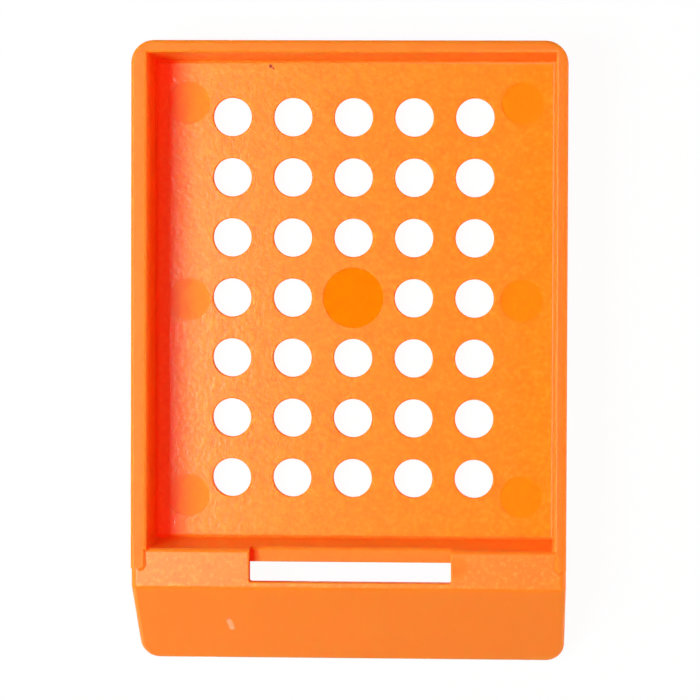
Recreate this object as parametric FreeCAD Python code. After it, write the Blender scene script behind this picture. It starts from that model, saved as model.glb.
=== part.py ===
import FreeCAD, Part
import math
import os
from FreeCAD import Vector

# Tissue cassette, the open base: one injection moulding in acetal.
# X runs across the cassette and Y from the writing face (front) to the back wall. Z is up.
# The origin is at the middle of the overall length and width, on the resting face.
# Lengths are in millimetres and angles in degrees.

# Outside
LENGTH = 40.85               # foot of the writing face to the back wall
WIDTH = 28.5                 # over the side walls, at the rim
HEIGHT = 6.0                 # resting face to rim
OUTER_DRAFT = 2.5            # the side and back walls narrow towards the bottom
BACK_CORNER_RADIUS = 1.5
FRONT_CORNER_RADIUS = 1.2
EDGE_RADIUS = 0.25           # on the outer edge of the rim

# Tray
FLOOR = 1.0                  # thickness
SIDE_WALL = 0.92             # thickness at the rim
BACK_WALL = 0.68             # thickness at the rim
SIDE_WALL_DRAFT = 1.2        # inside faces
END_WALL_DRAFT = 5.0
RIM_EDGE_RADIUS = 0.2        # on the inner edge of the rim
TRAY_CORNER_RADIUS = 0.25    # the two upright corners at the tray's front
CORE_SHIFT_X = 0.12          # the halves of the mould met slightly off, so that the tray, its
CORE_SHIFT_Y = -0.13         # pin marks and the latch are this far off the other features

# Front: ledge, latch and writing face
WRITING_ANGLE = 45.0
FRONT_LAND = 0.65            # upright strip below the writing face
LEDGE_DROP = 0.3             # ledge below the rim
LEDGE_EDGE_RADIUS = 0.4      # between the ledge and the writing face
FACE_EDGE_RADIUS = 0.4       # round the outside of the ledge and of the writing face
LIP_RADIUS = 0.25            # top edge of the tray's front wall
RIM_RUN = 1.42               # the side rims run on this far in front of the tray
RIM_END_RADIUS = 0.3
SKIN = 1.0                   # thickness of the ledge and of the writing face
LATCH_WALL = 0.86            # between the tray and the latch slot
LATCH_WIDTH = 13.2
LATCH_SLOT = 1.26            # front to back
LATCH_STRIP = 0.57           # of the ledge in front of the slot
LATCH_CORNER_RADIUS = 0.15
NOTCH_DROP = 1.1             # below the ledge, where the lid's tongue passes to the slot

# Drain holes, as many as the tray floor has room for
HOLE_DIAMETER = 2.52         # at the tray floor
HOLE_DRAFT = 3.0             # the holes widen towards the bottom
COLUMN_PITCH = 4.01
ROW_PITCH = 3.975
HOLE_END_GAP = 2.4           # least distance to the end walls

# Marks that the mould left on the tray floor
GATE_DISC_DIAMETER = 4.0     # where the middle hole would be
PIN_MARK_DIAMETER = 2.8
PIN_MARK_SIDE_GAP = 0.8      # to the side walls
PIN_MARK_END_GAP = 1.4       # to the end walls
MARK_DEPTH = 0.05

# Small nick in the writing face
NICK_LENGTH = 1.1
NICK_WIDTH = 0.24
NICK_DEPTH = 0.07
NICK_X = -7.9
NICK_DOWN = 3.4              # down the face from its top edge
NICK_TURN = 18.0             # off the line straight down the face

OVER = 1.0                   # how far a cutting tool runs past the face that it opens


def lean(height, angle):
    """How far a face that leans by angle moves sideways over height."""
    return height * math.tan(math.radians(angle))


# Heights
LEDGE_Z = HEIGHT - LEDGE_DROP
NOTCH_Z = LEDGE_Z - NOTCH_DROP

# Places along the cassette
FRONT_Y = -LENGTH / 2
BACK_Y = LENGTH / 2
LEDGE_FRONT_Y = FRONT_Y + lean(LEDGE_Z - FRONT_LAND, 90 - WRITING_ANGLE)
SLOT_FRONT_Y = LEDGE_FRONT_Y + LATCH_STRIP
SLOT_BACK_Y = SLOT_FRONT_Y + LATCH_SLOT
TRAY_FRONT_Y = SLOT_BACK_Y + LATCH_WALL
TRAY_BACK_Y = BACK_Y - BACK_WALL
RIM_END_Y = TRAY_FRONT_Y - RIM_RUN

# Places across the cassette
FOOT_HALF_WIDTH = WIDTH / 2 - lean(HEIGHT, OUTER_DRAFT)
TRAY_HALF_WIDTH = WIDTH / 2 - SIDE_WALL
LATCH_HALF_WIDTH = LATCH_WIDTH / 2
RIM_FLAT = SIDE_WALL - abs(CORE_SHIFT_X) - RIM_EDGE_RADIUS - EDGE_RADIUS

# The tray floor, between the feet of its walls
FLOOR_FRONT_Y = TRAY_FRONT_Y + lean(LEDGE_Z - FLOOR, END_WALL_DRAFT)
FLOOR_BACK_Y = TRAY_BACK_Y - lean(HEIGHT - FLOOR, END_WALL_DRAFT)
FLOOR_MIDDLE_Y = (FLOOR_FRONT_Y + FLOOR_BACK_Y) / 2
FLOOR_HALF_LENGTH = (FLOOR_BACK_Y - FLOOR_FRONT_Y) / 2
FLOOR_HALF_WIDTH = TRAY_HALF_WIDTH - lean(HEIGHT - FLOOR, SIDE_WALL_DRAFT)

# The pin marks lie along the side walls, in the middle and near both ends. The holes lie
# between them, on both sides of the middle lines.
PIN_MARK_X = FLOOR_HALF_WIDTH - PIN_MARK_SIDE_GAP - PIN_MARK_DIAMETER / 2
PIN_MARK_PITCH = FLOOR_HALF_LENGTH - PIN_MARK_END_GAP - PIN_MARK_DIAMETER / 2
HOLE_REACH_X = PIN_MARK_X - PIN_MARK_DIAMETER / 2 - HOLE_DIAMETER / 2
HOLE_REACH_Y = FLOOR_HALF_LENGTH - HOLE_END_GAP - HOLE_DIAMETER / 2
SIDE_COLUMNS = int(HOLE_REACH_X / COLUMN_PITCH)
END_ROWS = int(HOLE_REACH_Y / ROW_PITCH)


def across(outline, half_width):
    """Solid with an outline of (y, z) points, running across the cassette."""
    points = [Vector(-half_width, y, z) for y, z in outline]
    face = Part.Face(Part.makePolygon(points + points[:1]))
    return face.extrude(Vector(2 * half_width, 0, 0))


def along(outline, front, back):
    """Solid with an outline of (x, z) points, running from front to back."""
    points = [Vector(x, front, z) for x, z in outline]
    face = Part.Face(Part.makePolygon(points + points[:1]))
    return face.extrude(Vector(0, back - front, 0))


def block(half_width, front, back, bottom, top):
    return Part.makeBox(2 * half_width, back - front, top - bottom,
                        Vector(-half_width, front, bottom))


def disc(diameter, x, y, bottom, top):
    return Part.makeCylinder(diameter / 2, top - bottom, Vector(x, y, bottom))


def upright_edges(solid, at_front):
    """Corner edges that stand over the solid's whole height, at its front or at its back."""
    box = solid.BoundBox
    return [edge for edge in solid.Edges
            if edge.BoundBox.ZLength > 0.9 * box.ZLength
            and (edge.CenterOfMass.y < box.Center.y) == at_front]


def round_lip(y, z, radius):
    """Tool that rounds the top edge of a wall whose rear face is at y and whose top is at z."""
    corner = block(WIDTH, y - radius, y + OVER, z - radius, z + OVER)
    rod = Part.makeCylinder(radius, 2 * WIDTH, Vector(-WIDTH, y - radius, z - radius),
                            Vector(1, 0, 0))
    return corner.cut(rod)


def upper_outside_edges(solid, bottom, top):
    """Edges round the outside that lie between the two heights."""
    edges = []
    for edge in solid.Edges:
        middle = edge.CenterOfMass
        runs_across = edge.BoundBox.XLength > WIDTH / 2
        is_outside = not runs_across or middle.y > BACK_Y - 0.01 or middle.z < FRONT_LAND + 0.01
        box = edge.BoundBox
        if is_outside and box.ZMin > bottom - 0.01 and box.ZMax < top + 0.01:
            edges.append(edge)
    return edges


def outside():
    """Drafted block with the writing face, the ledge's level and the rounded outside edges."""
    drafted_sides = along([(-FOOT_HALF_WIDTH, 0), (FOOT_HALF_WIDTH, 0),
                           (WIDTH / 2, HEIGHT), (-WIDTH / 2, HEIGHT)], FRONT_Y, BACK_Y)
    drafted_back = across([(FRONT_Y, 0), (BACK_Y - lean(HEIGHT, OUTER_DRAFT), 0),
                           (BACK_Y, HEIGHT), (FRONT_Y, HEIGHT)], WIDTH)
    solid = drafted_sides.common(drafted_back)
    solid = solid.makeFillet(BACK_CORNER_RADIUS, upright_edges(solid, False))
    solid = solid.makeFillet(FRONT_CORNER_RADIUS, upright_edges(solid, True))
    solid = solid.cut(across([
        (FRONT_Y - OVER, FRONT_LAND - OVER / lean(1, 90 - WRITING_ANGLE)),
        (LEDGE_FRONT_Y, LEDGE_Z),
        (RIM_END_Y, LEDGE_Z),
        (RIM_END_Y, HEIGHT + OVER),
        (FRONT_Y - OVER, HEIGHT + OVER),
    ], WIDTH))
    ledge_front = [edge for edge in solid.Edges
                   if abs(edge.CenterOfMass.y - LEDGE_FRONT_Y) < 0.01
                   and edge.BoundBox.XLength > WIDTH / 2]
    solid = solid.makeFillet(LEDGE_EDGE_RADIUS, ledge_front)
    solid = solid.makeFillet(FACE_EDGE_RADIUS, upper_outside_edges(solid, FRONT_LAND, LEDGE_Z))
    return solid.makeFillet(EDGE_RADIUS, upper_outside_edges(solid, HEIGHT, HEIGHT))


def tray():
    """Tool for the tray, with the rounded edges of the rim and of the front wall."""
    side_top = TRAY_HALF_WIDTH + lean(OVER, SIDE_WALL_DRAFT)
    between_sides = along([(-FLOOR_HALF_WIDTH, FLOOR), (FLOOR_HALF_WIDTH, FLOOR),
                           (side_top, HEIGHT + OVER), (-side_top, HEIGHT + OVER)],
                          TRAY_FRONT_Y - LIP_RADIUS, BACK_Y)
    front_top = TRAY_FRONT_Y - lean(HEIGHT + OVER - LEDGE_Z, END_WALL_DRAFT)
    back_top = TRAY_BACK_Y + lean(OVER, END_WALL_DRAFT)
    between_ends = across([(FLOOR_FRONT_Y, FLOOR), (FLOOR_BACK_Y, FLOOR),
                           (back_top, HEIGHT + OVER), (front_top, HEIGHT + OVER)], WIDTH)
    solid = between_sides.common(between_ends)
    solid = solid.makeFillet(TRAY_CORNER_RADIUS, upright_edges(solid, True))
    above = block(WIDTH, FRONT_Y, BACK_Y + OVER, HEIGHT, HEIGHT + OVER)
    solid = solid.fuse(above).removeSplitter()
    rim = [edge for edge in solid.Edges
           if edge.BoundBox.ZLength < 0.01 and abs(edge.CenterOfMass.z - HEIGHT) < 0.01
           and edge.BoundBox.XMax < WIDTH / 2 and edge.BoundBox.XMin > -WIDTH / 2]
    solid = solid.makeFillet(RIM_EDGE_RADIUS, rim)
    lip = round_lip(TRAY_FRONT_Y, LEDGE_Z, LIP_RADIUS).common(between_sides)
    return solid.fuse(lip)


def ledge():
    """Tool that lowers the ledge between the side rims."""
    half_width = TRAY_HALF_WIDTH + RIM_EDGE_RADIUS
    return block(half_width, RIM_END_Y - OVER, TRAY_FRONT_Y, LEDGE_Z, HEIGHT + OVER)


def latch():
    """Tool for the slot that takes the lid's latch, and for the notch from the tray to it."""
    notch = block(LATCH_HALF_WIDTH, SLOT_FRONT_Y, TRAY_FRONT_Y + OVER, NOTCH_Z, HEIGHT + OVER)
    notch = notch.makeFillet(LATCH_CORNER_RADIUS, upright_edges(notch, True))
    slot = block(LATCH_HALF_WIDTH, SLOT_FRONT_Y, SLOT_BACK_Y, FRONT_LAND, NOTCH_Z + OVER)
    for at_front in (True, False):
        slot = slot.makeFillet(LATCH_CORNER_RADIUS, upright_edges(slot, at_front))
    wall_y = TRAY_FRONT_Y + lean(LEDGE_Z - NOTCH_Z, END_WALL_DRAFT)
    between_notch_sides = block(LATCH_HALF_WIDTH, SLOT_BACK_Y, TRAY_FRONT_Y + OVER, 0, HEIGHT)
    lip = round_lip(wall_y, NOTCH_Z, LIP_RADIUS).common(between_notch_sides)
    return notch.fuse([slot, lip])


def hollow():
    """Tool for the hollow under the ledge and the writing face, open at the bottom."""
    ceiling_z = LEDGE_Z - SKIN
    skin_along = SKIN / math.sin(math.radians(WRITING_ANGLE))
    writing_foot_y = LEDGE_FRONT_Y - lean(LEDGE_Z + OVER, 90 - WRITING_ANGLE)
    return across([
        (SLOT_BACK_Y, -OVER),
        (SLOT_BACK_Y, ceiling_z),
        (LEDGE_FRONT_Y - lean(SKIN, 90 - WRITING_ANGLE) + skin_along, ceiling_z),
        (writing_foot_y + skin_along, -OVER),
    ], FOOT_HALF_WIDTH - SIDE_WALL)


def drain_holes():
    """Grid of holes through the tray floor, with none in the middle."""
    radius_below = HOLE_DIAMETER / 2 + lean(FLOOR + OVER, HOLE_DRAFT)
    radius_above = HOLE_DIAMETER / 2 - lean(OVER, HOLE_DRAFT)
    places = [(column, row)
              for column in range(-SIDE_COLUMNS, SIDE_COLUMNS + 1)
              for row in range(-END_ROWS, END_ROWS + 1)
              if (column, row) != (0, 0)]
    return Part.makeCompound([
        Part.makeCone(radius_below, radius_above, FLOOR + 2 * OVER,
                      Vector(column * COLUMN_PITCH, FLOOR_MIDDLE_Y + row * ROW_PITCH, -OVER))
        for column, row in places])


def pin_marks():
    """Shallow rounds that the ejector pins left along both sides of the tray floor."""
    marks = [disc(PIN_MARK_DIAMETER, side * PIN_MARK_X, FLOOR_MIDDLE_Y + place * PIN_MARK_PITCH,
                  FLOOR - MARK_DEPTH, FLOOR + OVER)
             for side in (-1, 1) for place in (-1, 0, 1)]
    return Part.makeCompound(marks)


def gate_disc():
    """Shallow round where the moulding was fed."""
    return disc(GATE_DISC_DIAMETER, 0, FLOOR_MIDDLE_Y, FLOOR - MARK_DEPTH, FLOOR + OVER)


def nick():
    """Tool for the nick: an ellipsoid sunk by half into the writing face."""
    scale = FreeCAD.Matrix()
    scale.scale(NICK_WIDTH / 2, NICK_LENGTH / 2, NICK_DEPTH)
    gouge = Part.makeSphere(1).transformGeometry(scale)
    gouge.rotate(Vector(0, 0, 0), Vector(0, 0, 1), NICK_TURN)
    gouge.rotate(Vector(0, 0, 0), Vector(1, 0, 0), WRITING_ANGLE)
    angle = math.radians(WRITING_ANGLE)
    return gouge.translated(Vector(NICK_X, LEDGE_FRONT_Y - NICK_DOWN * math.cos(angle),
                                   LEDGE_Z - NICK_DOWN * math.sin(angle)))


def rim_ends(solid):
    """Inner upright edges at the front ends of the two side rims."""
    return [edge for edge in solid.Edges
            if edge.BoundBox.ZLength > 0.9 * LEDGE_DROP
            and edge.BoundBox.ZMin > LEDGE_Z - 0.01
            and edge.BoundBox.XLength < 0.01
            and abs(edge.CenterOfMass.y - RIM_END_Y) < 0.01]


def cassette_base():
    core_shift = Vector(CORE_SHIFT_X, CORE_SHIFT_Y, 0)
    core_side = [tool.translated(core_shift)
                 for tool in (tray(), ledge(), latch(), hollow(), pin_marks())]
    cavity_side = [drain_holes(), gate_disc(), nick()]
    solid = outside()
    for tool in core_side + cavity_side:
        solid = solid.cut(tool)
    solid = solid.removeSplitter()
    rim_end_radius = min(RIM_END_RADIUS, 0.9 * RIM_FLAT)
    return solid.makeFillet(rim_end_radius, rim_ends(solid))


os.makedirs("parts", exist_ok=True)
cassette_base().exportStep("parts/cassette_base.step")
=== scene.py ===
# %% [markdown]
# # Tissue cassette, open base
# A tissue cassette is a flat perforated tray of orange acetal plastic, in which a small piece of
# tissue travels through the baths of a biology lab. This is its base, without the lid. The packed
# part is loaded first and stays the fixed frame: nothing below changes its size. Blender measures
# in metres and this part is small, so a length is written in millimetres and multiplied by MM.

# %% Load the part
import bmesh
import bpy
import math
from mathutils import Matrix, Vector


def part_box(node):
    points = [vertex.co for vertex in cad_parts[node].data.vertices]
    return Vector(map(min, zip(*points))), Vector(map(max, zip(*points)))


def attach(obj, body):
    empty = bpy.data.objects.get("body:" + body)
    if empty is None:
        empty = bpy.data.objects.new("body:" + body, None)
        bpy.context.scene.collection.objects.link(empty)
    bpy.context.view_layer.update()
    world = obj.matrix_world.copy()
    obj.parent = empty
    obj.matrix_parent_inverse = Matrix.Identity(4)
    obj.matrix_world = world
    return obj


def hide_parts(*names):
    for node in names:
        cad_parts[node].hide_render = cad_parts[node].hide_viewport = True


MM = 0.001

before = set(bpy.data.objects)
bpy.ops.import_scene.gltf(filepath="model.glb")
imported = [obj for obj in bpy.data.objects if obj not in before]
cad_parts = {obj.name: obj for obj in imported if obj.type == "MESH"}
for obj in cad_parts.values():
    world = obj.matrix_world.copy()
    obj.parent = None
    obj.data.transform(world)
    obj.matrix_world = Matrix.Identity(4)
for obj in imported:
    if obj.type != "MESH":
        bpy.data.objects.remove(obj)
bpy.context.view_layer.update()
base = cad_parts["cassette_base"]
low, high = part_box("cassette_base")
print("size in mm:", [round(side / MM, 2) for side in high - low])

# %% [markdown]
# ## Shader maths
# A material is a graph of nodes. It could be wired by hand in the shader editor, or line by line
# in code, but its maths reads better as Python. `Value` wraps one socket and turns `+`, `-`, `*`
# and `/` into Math nodes. `Finish` holds the graph of a material or of the world. Its `node`
# method makes every node: it gets the type, the settings, and the values or links of the sockets.

# %% Helpers for materials
class Value:
    """One output socket of a node, which can be used in sums."""

    def __init__(self, finish, socket):
        self.finish = finish
        self.socket = socket

    def maths(self, operation, first, second, clamp=False):
        settings = {"operation": operation, "use_clamp": clamp}
        return self.finish.node("ShaderNodeMath", settings, {0: first, 1: second})

    def __add__(self, other):
        return self.maths("ADD", self, other)

    def __sub__(self, other):
        return self.maths("SUBTRACT", self, other)

    def __rsub__(self, other):
        return self.maths("SUBTRACT", other, self)

    def __mul__(self, other):
        return self.maths("MULTIPLY", self, other)

    def __truediv__(self, other):
        return self.maths("DIVIDE", self, other)

    __radd__ = __add__
    __rmul__ = __mul__

    def clamped(self):
        return self.maths("ADD", self, 0, clamp=True)

    def ramp(self, start, end):
        """0 before start and 1 past end, with a smooth step between; start may be the larger."""
        return self.finish.node("ShaderNodeMapRange", {"interpolation_type": "SMOOTHSTEP"}, {
            "Value": self, "From Min": start, "From Max": end,
        }, output="Result")


class Finish:
    """The nodes of a material or of the world."""

    def __init__(self, owner, output="ShaderNodeOutputMaterial"):
        owner.use_nodes = True
        owner.node_tree.nodes.clear()
        self.owner = owner
        self.tree = owner.node_tree
        self.output = output

    def feed(self, socket, value):
        if isinstance(value, Value):
            self.tree.links.new(value.socket, socket)
        else:
            socket.default_value = value

    def node(self, kind, settings=None, sockets=None, output=0):
        """Makes one node. Gives back one of its outputs, if it has any."""
        node = self.tree.nodes.new(kind)
        for name, value in (settings or {}).items():
            setattr(node, name, value)
        for name, value in (sockets or {}).items():
            self.feed(node.inputs[name], value)
        return Value(self, node.outputs[output]) if node.outputs else None

    def mix_colours(self, share, first, second):
        """A Mix node has sockets for every type of data: 6, 7 and output 2 are its colours."""
        sockets = {0: share, 6: first, 7: second}
        return self.node("ShaderNodeMix", {"data_type": "RGBA"}, sockets, output=2)

    def mix_shaders(self, share, first, second):
        return self.node("ShaderNodeMixShader", None, {0: share, 1: first, 2: second})

    def surface(self, shader):
        self.node(self.output, None, {"Surface": shader})
        print("finish:", self.owner.name, len(self.tree.nodes), "nodes")


# %% [markdown]
# ## A copy to work on
# The imported mesh is loose triangles, and it is never changed, so a copy of it is. A bevel needs
# faces that share their edges, so the copy's triangles are merged first. Flat ones are then joined
# into whole faces. Building the moulding anew from boxes would also work, but then it could
# differ from the imported part.

# %% Copy the imported mesh
SAME_PLACE = 0.0001 * MM
FLAT_ANGLE = math.radians(0.3)

moulding_mesh = bpy.data.meshes.new("cassette_moulding")
shape = bmesh.new()
shape.from_mesh(base.data)
bmesh.ops.remove_doubles(shape, verts=shape.verts, dist=SAME_PLACE)
bmesh.ops.dissolve_limit(shape, angle_limit=FLAT_ANGLE, verts=shape.verts, edges=shape.edges)
print("merged copy:", len(shape.verts), "corners,", len(shape.faces), "faces")

# %% [markdown]
# ## Find the sharp edges
# No edge of a moulding is truly sharp: the steel of the mould is polished, and molten plastic
# doesn't run into a sharp corner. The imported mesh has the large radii, and the small ones are
# added here. A Bevel modifier with an angle limit would do it in one step, but it would also take
# the rims of the shallow ejector marks. So each group is picked by its height, and by whether it
# is hollow, as the foot of a wall is, or points outwards, as the mouth of a hole does.

# %% Pick edges by height
TRAY_FLOOR = 1.0 * MM
LEDGE = 5.7 * MM
SAME_HEIGHT = 0.006 * MM
SHARP_ANGLE = math.radians(50)


def level_at(edge, height):
    return all(abs(corner.co.z - height) < SAME_HEIGHT for corner in edge.verts)


def sharp_edges(height, hollow):
    """The sharp edges at one height, either the hollow ones or the outward ones."""
    shape.normal_update()
    return [
        edge for edge in shape.edges
        if level_at(edge, height)
        and edge.calc_face_angle(0) > SHARP_ANGLE
        and edge.is_convex != hollow
    ]


def lowest(edge):
    """The height of the lowest corner of the two faces that meet at an edge."""
    return min(corner.co.z for face in edge.link_faces for corner in face.verts)


for name, height in {"tray floor": TRAY_FLOOR, "ledge": LEDGE}.items():
    hollow, outward = (len(sharp_edges(height, way)) for way in (True, False))
    print(name + ":", hollow, "hollow edges,", outward, "outward edges")

# %% [markdown]
# ## Soften the ends of the side rims
# The side rims end at the ledge in a step only 0.3 mm high, and on the real base that step is a
# soft slope. It is too low for a bevel along its foot, whose faces would fold over each other. So
# the corners of the foot are moved out over the ledge instead, each away from the step's own wall.

# %% Draw out the step
STEP_SLOPE = 0.2 * MM
STEEP = 0.5


def steep(face):
    return abs(face.normal.z) < STEEP


def above_ledge(face):
    return min(corner.co.z for corner in face.verts) > LEDGE - SAME_HEIGHT


def splay(edges, distance):
    """Draws the foot of a low step out over the face it stands on, which makes it a slope."""
    shape.normal_update()
    moves = {}
    for corner in {corner for edge in edges for corner in edge.verts}:
        steps = [face.normal for face in corner.link_faces if steep(face) and above_ledge(face)]
        away = sum(steps, Vector())
        moves[corner] = Vector((away.x, away.y, 0)).normalized() * distance
    for corner, move in moves.items():
        corner.co += move
    print("corners splayed:", len(moves))


splay(sharp_edges(LEDGE, True), STEP_SLOPE)

# %% [markdown]
# ## Round the small edges
# Three groups get a bevel: the mouths of the drain holes, the feet of the tray walls, and the rim
# of the latch slot. The rim of an ejector mark lies at the height of the tray floor too, but its
# wall is only 0.05 mm deep. A hole's wall runs on down, and this tells the two apart. The slot's
# rounding ends in the open, on a wall that runs on, so the line where they meet is marked as
# sharp. Otherwise the wall would lend its shading to everything round that end.

# %% Round the hole mouths, the wall feet and the latch slot
MOUTH_RADIUS = 0.08 * MM
FOOT_RADIUS = 0.2 * MM
SLOT_RADIUS = 0.1 * MM
MOUTH_STEPS = 3
FOOT_STEPS = 4
SLOT_STEPS = 3
DEEP = 0.1 * MM


def round_edges(name, edges, radius, steps):
    rounded = bmesh.ops.bevel(
        shape, geom=edges, affect="EDGES", offset_type="OFFSET", offset=radius,
        segments=steps, profile=0.5, material=-1, clamp_overlap=False,
    )
    print(name + ":", len(edges), "edges rounded by", round(radius / MM, 2), "mm")
    return set(rounded["faces"])


def crease(faces):
    """Marks as sharp the line where some rounded faces meet a steep wall."""
    shape.normal_update()
    for face in faces:
        for edge in face.edges:
            if any(steep(wall) for wall in edge.link_faces if wall not in faces):
                edge.smooth = False


for edge in shape.edges:
    edge.smooth = True
mouths = [edge for edge in sharp_edges(TRAY_FLOOR, False) if lowest(edge) < TRAY_FLOOR - DEEP]
round_edges("hole mouths", mouths, MOUTH_RADIUS, MOUTH_STEPS)
round_edges("wall feet", sharp_edges(TRAY_FLOOR, True), FOOT_RADIUS, FOOT_STEPS)
crease(round_edges("slot rim", sharp_edges(LEDGE, False), SLOT_RADIUS, SLOT_STEPS))

# %% [markdown]
# ## Smooth shading
# A rounding of three or four steps looks round only if it is shaded smoothly. The whole copy is,
# except where faces meet at 35 degrees or more. The tray floor is one great flat face cut by
# many holes, and the roundings' shading would run into it as pale streaks. So the line between
# the flat floor and a rounding, which has a flat face on just one side, is sharp as well.

# %% Mark the sharp lines and fill the mesh
SMOOTH_ANGLE = math.radians(35)
FLAT = 0.9999

shape.normal_update()
for edge in shape.edges:
    flat_sides = sum(face.normal.z > FLAT for face in edge.link_faces)
    border = level_at(edge, TRAY_FLOOR) and flat_sides == 1
    edge.smooth = edge.smooth and not border and edge.calc_face_angle(0) < SMOOTH_ANGLE
for face in shape.faces:
    face.smooth = True
shape.to_mesh(moulding_mesh)
volume = shape.calc_volume() / MM ** 3
open_edges = sum(len(edge.link_faces) != 2 for edge in shape.edges)
shape.free()
print("volume in cubic mm:", round(volume, 1), " open edges:", open_edges)

# %% [markdown]
# ## The moulding
# The base is one injection moulding, so it is one piece. The Weighted Normal modifier lets the
# large flat faces decide the shading at their borders, so that the small roundings don't throw
# soft stains across the flats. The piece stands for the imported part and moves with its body.

# %% Make the piece
moulding = bpy.data.objects.new("cassette_moulding", moulding_mesh)
bpy.context.scene.collection.objects.link(moulding)
even = moulding.modifiers.new("even_flats", "WEIGHTED_NORMAL")
even.keep_sharp = True
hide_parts("cassette_base")
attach(moulding, "root")
print("piece:", moulding.name, len(moulding_mesh.polygons), "faces")

# %% [markdown]
# ## Where each finish goes
# One plastic, but several finishes, because each part of the mould was finished differently. The
# tray floor and the ledge are spark-eroded and look finely grained. The round marks of the ejector
# pins, and the larger disc in the middle where the plastic came in, are polished. Everything else
# is satin. Each finish could be painted on faces by hand, but Object coordinates say where a point
# of the surface is, so height and facing tell the finishes apart, exactly along the real faces.

# %% Masks by height
UP_START, UP_FULL = 0.985, 0.996        # how far a surface faces up; 1 is straight up
FLOOR_HEIGHTS = (0.98, 1.02)            # heights in mm
LEDGE_HEIGHTS = (5.66, 5.72)
POLISHED_HEIGHTS = (0.93, 0.955)
FADE_BELOW = 0.02
FADE_ABOVE = 0.04

acetal = Finish(bpy.data.materials.new("orange_acetal"))
place = acetal.node("ShaderNodeTexCoord", output="Object")
facing = acetal.node("ShaderNodeTexCoord", output="Normal")


def part_of(vector, axis):
    return acetal.node("ShaderNodeSeparateXYZ", None, {0: vector}, output=axis)


across, height = (part_of(place, axis) / MM for axis in "XZ")
upward = part_of(facing, "Z").ramp(UP_START, UP_FULL)


def level_band(bottom, top):
    """1 where the surface lies between two heights in mm and faces up, with soft ends."""
    from_bottom = height.ramp(bottom - FADE_BELOW, bottom)
    from_top = height.ramp(top + FADE_ABOVE, top)
    return from_bottom * from_top * upward


grained_floor = level_band(*FLOOR_HEIGHTS)
level_ledge = level_band(*LEDGE_HEIGHTS)
polished = level_band(*POLISHED_HEIGHTS)
print("masks by height:", len(acetal.tree.nodes), "nodes")

# %% [markdown]
# The middle disc lies as deep as the ejector marks, so a distance from its middle tells it from
# them. The ledge has one spot without grain, a smooth shoulder beside the right end of the notch,
# and a distance picks that out as well.

# %% Masks by distance
GATE_MIDDLE = (0.0, 3.52, 0.95)
GATE_INNER, GATE_OUTER = 2.1, 2.3
SHOULDER_MIDDLE = (7.1, -13.9, 5.7)
SHOULDER_INNER, SHOULDER_OUTER = 0.5, 1.0


def near(middle, inner, outer):
    """1 within inner mm of a point, fading to 0 at outer mm."""
    away = acetal.node("ShaderNodeVectorMath", {"operation": "DISTANCE"}, {
        0: place, 1: Vector(middle) * MM,
    }, output="Value")
    return (away / MM).ramp(outer, inner)


grained_ledge = level_ledge * (1 - near(SHOULDER_MIDDLE, SHOULDER_INNER, SHOULDER_OUTER))
gate_disc = polished * near(GATE_MIDDLE, GATE_INNER, GATE_OUTER)
pin_marks = polished - gate_disc
grained = (grained_floor + grained_ledge).clamped()
print("all masks:", len(acetal.tree.nodes), "nodes")

# %% [markdown]
# ## Grain
# Spark erosion leaves overlapping craters a few tenths of a millimetre wide. They could be a
# displaced mesh, but they are only micrometres deep, and that would take millions of faces. Two
# Noise textures drive a Bump node instead: a fine one for the single craters, and a coarser one
# for where they run together.

# %% Grain of the eroded faces
CRATERS = {"size": 0.30, "detail": 1.8, "rough": 0.6}
BLOTCHES = {"size": 0.9, "detail": 2.0, "rough": 0.5}
BLOTCH_DEPTH = 0.25
GRAIN_DEPTH = 0.011 * MM


def noise(size, detail, rough):
    """A Noise texture whose blobs are about this many mm wide."""
    return acetal.node("ShaderNodeTexNoise", None, {
        "Vector": place, "Scale": 1 / (size * MM), "Detail": detail, "Roughness": rough,
    })


craters = noise(**CRATERS)
blotches = noise(**BLOTCHES)
grain_bump = acetal.node("ShaderNodeBump", None, {
    "Strength": grained, "Distance": GRAIN_DEPTH, "Height": craters + blotches * BLOTCH_DEPTH,
})
print("grain:", CRATERS["size"], "mm wide,", GRAIN_DEPTH / MM, "mm deep")

# %% [markdown]
# ## Colour
# The plastic is a clear strong orange. The craters scatter a little more light, so the grained
# faces are lighter and a touch yellower, and they vary a few percent from place to place. One
# colour would look painted, so the same noises that make the grain mix a darker and a lighter
# orange. The polished places look deeper, and have colours of their own.

# %% Colour of the acetal
SKIN = (1.0, 0.236, 0.018, 1)
GRAINED_DARK = (0.95, 0.24, 0.003, 1)
GRAINED_LIGHT = (1.0, 0.34, 0.007, 1)
GATE = (1.0, 0.245, 0.0, 1)
PIN_MARK = (1.0, 0.282, 0.001, 1)
MIDDLE = 0.5
CRATER_MOTTLE = 1.6
BLOTCH_MOTTLE = 0.6
LEDGE_SATURATION = 0.4

mottle = (craters - MIDDLE) * CRATER_MOTTLE + (blotches - MIDDLE) * BLOTCH_MOTTLE + MIDDLE
mottle = (mottle - grained_ledge * LEDGE_SATURATION).clamped()
grained_colour = acetal.mix_colours(mottle, GRAINED_DARK, GRAINED_LIGHT)
colour = acetal.mix_colours(grained, SKIN, grained_colour)
colour = acetal.mix_colours(gate_disc, colour, GATE)
colour = acetal.mix_colours(pin_marks, colour, PIN_MARK)
print("colour:", len(acetal.tree.nodes), "nodes")

# %% [markdown]
# A crater that faces the light shows as a pale glint. These glints are painted into the colour as
# pale speckles. Few craters face the light, so only the peaks of another noise count, more of them
# on the ledge than on the tray floor.

# %% Painted glints
GLINT_COLOUR = (1.0, 0.40, 0.06, 1)
GLINT_NOISE = {"size": 0.3, "detail": 1.5, "rough": 0.5}
PEAK_START, PEAK_FULL = 0.52, 0.72
FLOOR_GLINTS = 0.35
GLINT_SHARE = 0.45

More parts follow.
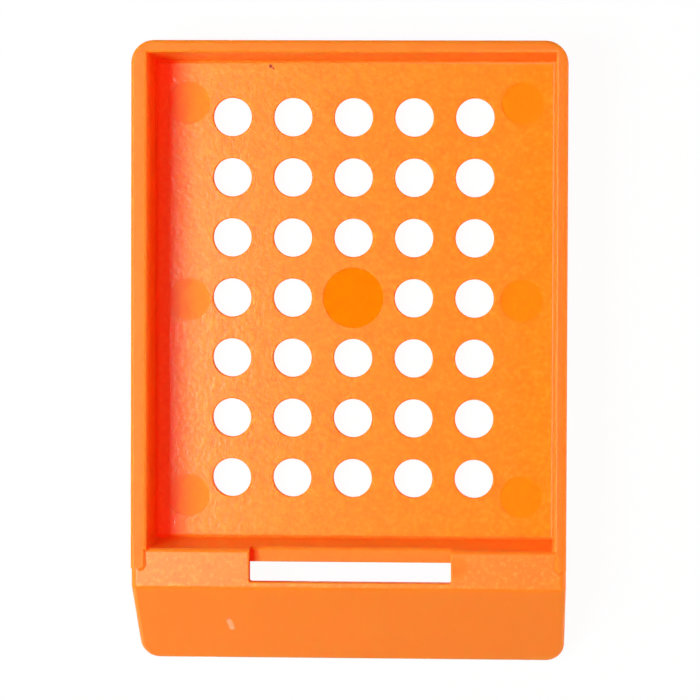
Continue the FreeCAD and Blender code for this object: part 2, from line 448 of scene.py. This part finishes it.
peaks = noise(**GLINT_NOISE).ramp(PEAK_START, PEAK_FULL)
painted_glints = peaks * (grained_ledge + grained_floor * FLOOR_GLINTS)
# Painted highlight: pale orange glints mixed into the colour where the noise peaks.
colour = acetal.mix_colours(painted_glints * GLINT_SHARE, colour, GLINT_COLOUR)
print("speckles:", len(acetal.tree.nodes), "nodes")

# %% [markdown]
# Two small marks: a pale streak along a nick in the writing face, and a dark red speck of burnt
# plastic in the floor by the back wall. The dent of the nick is in the imported part, and the speck
# lies flush. So only colour is added here, and each mark is a few overlapping soft dots, as a line
# of them can follow a slanting scratch.

# %% Nick and speck
# The pale orange of the streak along the nick.
NICK_PALE = (1.0, 0.47, 0.24, 1)
BURNT = (0.35, 0.03, 0.004, 1)
NICK_TOP = Vector((-7.96, -17.74, 3.33))
NICK_FOOT = Vector((-7.82, -18.25, 2.82))
NICK_DOTS = (0.0, 0.33, 0.67, 1.0)      # places between the nick's top and its foot
NICK_INNER, NICK_OUTER = 0.06, 0.27
SPECK_MIDDLE = (-5.5, 18.8, 1.0)
SPECK_INNER, SPECK_OUTER = 0.06, 0.18
SPECK_END = (-5.33, 18.66, 1.0)
END_INNER, END_OUTER = 0.02, 0.12

dots = [near(NICK_TOP.lerp(NICK_FOOT, share), NICK_INNER, NICK_OUTER) for share in NICK_DOTS]
colour = acetal.mix_colours(sum(dots).clamped(), colour, NICK_PALE)
speck = near(SPECK_MIDDLE, SPECK_INNER, SPECK_OUTER) + near(SPECK_END, END_INNER, END_OUTER)
colour = acetal.mix_colours(speck.clamped(), colour, BURNT)
print("nick length in mm:", round((NICK_TOP - NICK_FOOT).length, 2))

# %% [markdown]
# ## How rough each finish is
# The satin is smoother on the upright walls, along which the moulding slid out of the steel, than
# on the faces that look up. The tray floor is a little glossier along the side walls, and the
# ejector marks are a little glossier towards the right. A roughness may vary over a surface, so
# one sum covers all the satin and another all the floor.

# %% Roughness
SATIN_ROUGH = 0.45
WALL_ROUGH = 0.28
GATE_ROUGH = 0.12
FLOOR_ROUGH = 0.182
SIDE_ROUGH = 0.15
SIDE_START, SIDE_FULL = 9.9, 12.3       # mm from the middle, towards a side wall
MARK_ROUGH = 0.12
MARK_TREND = 0.0018                     # for each mm to the right

satin_rough = WALL_ROUGH + upward * (SATIN_ROUGH - WALL_ROUGH)
satin_rough = satin_rough + gate_disc * (GATE_ROUGH - SATIN_ROUGH)
beside_wall = (across * across).ramp(SIDE_START ** 2, SIDE_FULL ** 2)
floor_rough = FLOOR_ROUGH + beside_wall * (SIDE_ROUGH - FLOOR_ROUGH)
mark_rough = MARK_ROUGH - across * MARK_TREND
floor_rough = floor_rough + pin_marks * (mark_rough - floor_rough)
print("roughness:", len(acetal.tree.nodes), "nodes")

# %% [markdown]
# ## The plastic
# Acetal is slightly see-through: light goes in, scatters, and comes out nearby, red light farther
# than green. Subsurface scattering does that. How strongly a surface mirrors has to be one number
# in a Principled shader, so three of them are mixed: one for the satin and the middle disc, one
# for the tray floor and the ejector marks, and one for the ledge. Red light also passes right
# through the thin walls, so what lies in their shadow is red, not grey. Tracing that light would
# be slow, so a ray towards a lamp meets a red clear shader instead of the plastic, which colours
# the shadows and changes nothing else.

# %% Acetal
SCATTER = (1.0, 0.4, 0.2)
SCATTER_SIZE = 1.0 * MM
REFRACTION = 1.48
SATIN_GLOSS = 0.12
FLOOR_GLOSS = 0.95
LEDGE_ROUGH = 0.37
LEDGE_GLOSS = 0.42
THROUGH = (0.67, 0.19, 0.15, 1)


def plastic(roughness, gloss, more=None):
    return acetal.node("ShaderNodeBsdfPrincipled", None, {
        "Base Color": colour, "Roughness": roughness, "IOR": REFRACTION,
        "Specular IOR Level": gloss, "Subsurface Weight": 1.0,
        "Subsurface Radius": SCATTER, "Subsurface Scale": SCATTER_SIZE, **(more or {}),
    })


satin = plastic(satin_rough, SATIN_GLOSS)
floor_plastic = plastic(floor_rough, FLOOR_GLOSS, {"Normal": grain_bump})
ledge_plastic = plastic(LEDGE_ROUGH, LEDGE_GLOSS, {"Normal": grain_bump})
shell = acetal.mix_shaders((grained_floor + pin_marks).clamped(), satin, floor_plastic)
shell = acetal.mix_shaders(grained_ledge, shell, ledge_plastic)
red_clear = acetal.node("ShaderNodeBsdfTransparent", None, {"Color": THROUGH})
towards_lamp = acetal.node("ShaderNodeLightPath", output="Is Shadow Ray")
acetal.surface(acetal.mix_shaders(towards_lamp, shell, red_clear))
moulding_mesh.materials.clear()
moulding_mesh.materials.append(acetal.owner)

# %% [markdown]
# ## Floor
# A white sheet. It is lit like any surface, so that it throws light back up into the plastic,
# but to the camera it is mostly pure white, with only a trace of the shadow left in it. A plain
# white sheet would look grey away from the lamps. It lies a hair below the part, because two
# faces in one plane flicker.

# %% Make the floor
PAPER = (0.85, 0.85, 0.85, 1)
WHITE = (1, 1, 1, 1)
GLOW_SHARE = 0.965
FLOOR_REACH = 1.0
FLOOR_DROP = 0.05 * MM

floor_mesh = bpy.data.meshes.new("floor")
floor_shape = bmesh.new()
bmesh.ops.create_grid(floor_shape, x_segments=1, y_segments=1, size=FLOOR_REACH)
bmesh.ops.translate(floor_shape, verts=floor_shape.verts, vec=(0, 0, -FLOOR_DROP))
floor_shape.to_mesh(floor_mesh)
floor_shape.free()
floor = bpy.data.objects.new("floor", floor_mesh)
bpy.context.scene.collection.objects.link(floor)

paper = Finish(bpy.data.materials.new("white_paper"))
matt = paper.node("ShaderNodeBsdfDiffuse", None, {"Color": PAPER})
glow = paper.node("ShaderNodeEmission", None, {"Color": WHITE, "Strength": 1.0})
seen = paper.node("ShaderNodeLightPath", output="Is Camera Ray")
paper.surface(paper.mix_shaders(seen * GLOW_SHARE, matt, glow))
floor_mesh.materials.append(paper.owner)

# %% [markdown]
# ## Light
# The key light is a softbox up on the left. Its size sets how soft the left wall's shadow is: a
# spot lamp would cut it hard. A low strip on each side puts a light line along the rounded edges.

# %% Softboxes
KEY_PLACE = (-0.099, -0.006, 0.21)
KEY_WIDTH = 0.09
KEY_LENGTH = 0.11
KEY_POWER = 0.68
LEFT_PLACE = (-0.25, 0.0, 0.06)
LEFT_WIDTH = 0.06
LEFT_POWER = 0.06
RIGHT_PLACE = (0.25, -0.03, 0.014)
RIGHT_WIDTH = 0.02
RIGHT_POWER = 0.38
STRIP_LENGTH = 0.25
AIM = Vector((0, 0, 0.003))


def softbox(name, place, width, length, power, outline="RECTANGLE"):
    """An area lamp aimed at the cassette, with its length along the cassette."""
    lamp = bpy.data.lights.new(name, "AREA")
    lamp.shape = outline
    lamp.size = length
    lamp.size_y = width
    lamp.energy = power
    light = bpy.data.objects.new(name, lamp)
    light.location = place
    light.rotation_euler = (AIM - Vector(place)).to_track_quat("-Z", "Y").to_euler()
    bpy.context.scene.collection.objects.link(light)
    print(name + ":", power, "W")


softbox("key_softbox", KEY_PLACE, KEY_WIDTH, KEY_LENGTH, KEY_POWER, "ELLIPSE")
softbox("left_strip", LEFT_PLACE, LEFT_WIDTH, STRIP_LENGTH, LEFT_POWER)
softbox("right_strip", RIGHT_PLACE, RIGHT_WIDTH, STRIP_LENGTH, RIGHT_POWER)

# %% [markdown]
# The world fills in the shadows. One white world would do for that and for the background, but it
# would wash out the shadows. So the light comes from a dim world, and the camera sees a white one.

# %% World
AMBIENT = 0.055

studio = Finish(bpy.data.worlds.new("studio"), "ShaderNodeOutputWorld")
dim = studio.node("ShaderNodeBackground", None, {"Color": WHITE, "Strength": AMBIENT})
bright = studio.node("ShaderNodeBackground", None, {"Color": WHITE, "Strength": 1.0})
seen = studio.node("ShaderNodeLightPath", output="Is Camera Ray")
studio.surface(studio.mix_shaders(seen, dim, bright))
bpy.context.scene.world = studio.owner

# %% [markdown]
# ## Camera
# The cassette is seen from straight above, a little to the right and behind the middle, so that
# the inner faces of the left and front walls show. A short lens close by would show more of the
# walls, but it would splay the sides. A long one keeps them nearly parallel.

# %% Camera
LENS = 246.08
NEAREST = 0.01
CAMERA_PLACE = (0.02006, 0.01319, 0.31644)
CAMERA_TURN = (-2.3641, 3.6825, 0.179)

lens = bpy.data.cameras.new("camera")
lens.lens = LENS
lens.clip_start = NEAREST
camera = bpy.data.objects.new("camera", lens)
camera.location = CAMERA_PLACE
camera.rotation_euler = [math.radians(angle) for angle in CAMERA_TURN]
bpy.context.scene.collection.objects.link(camera)
bpy.context.scene.camera = camera
bpy.context.scene.view_settings.view_transform = "Standard"
print("camera:", LENS, "mm lens,", CAMERA_PLACE[2], "m up")
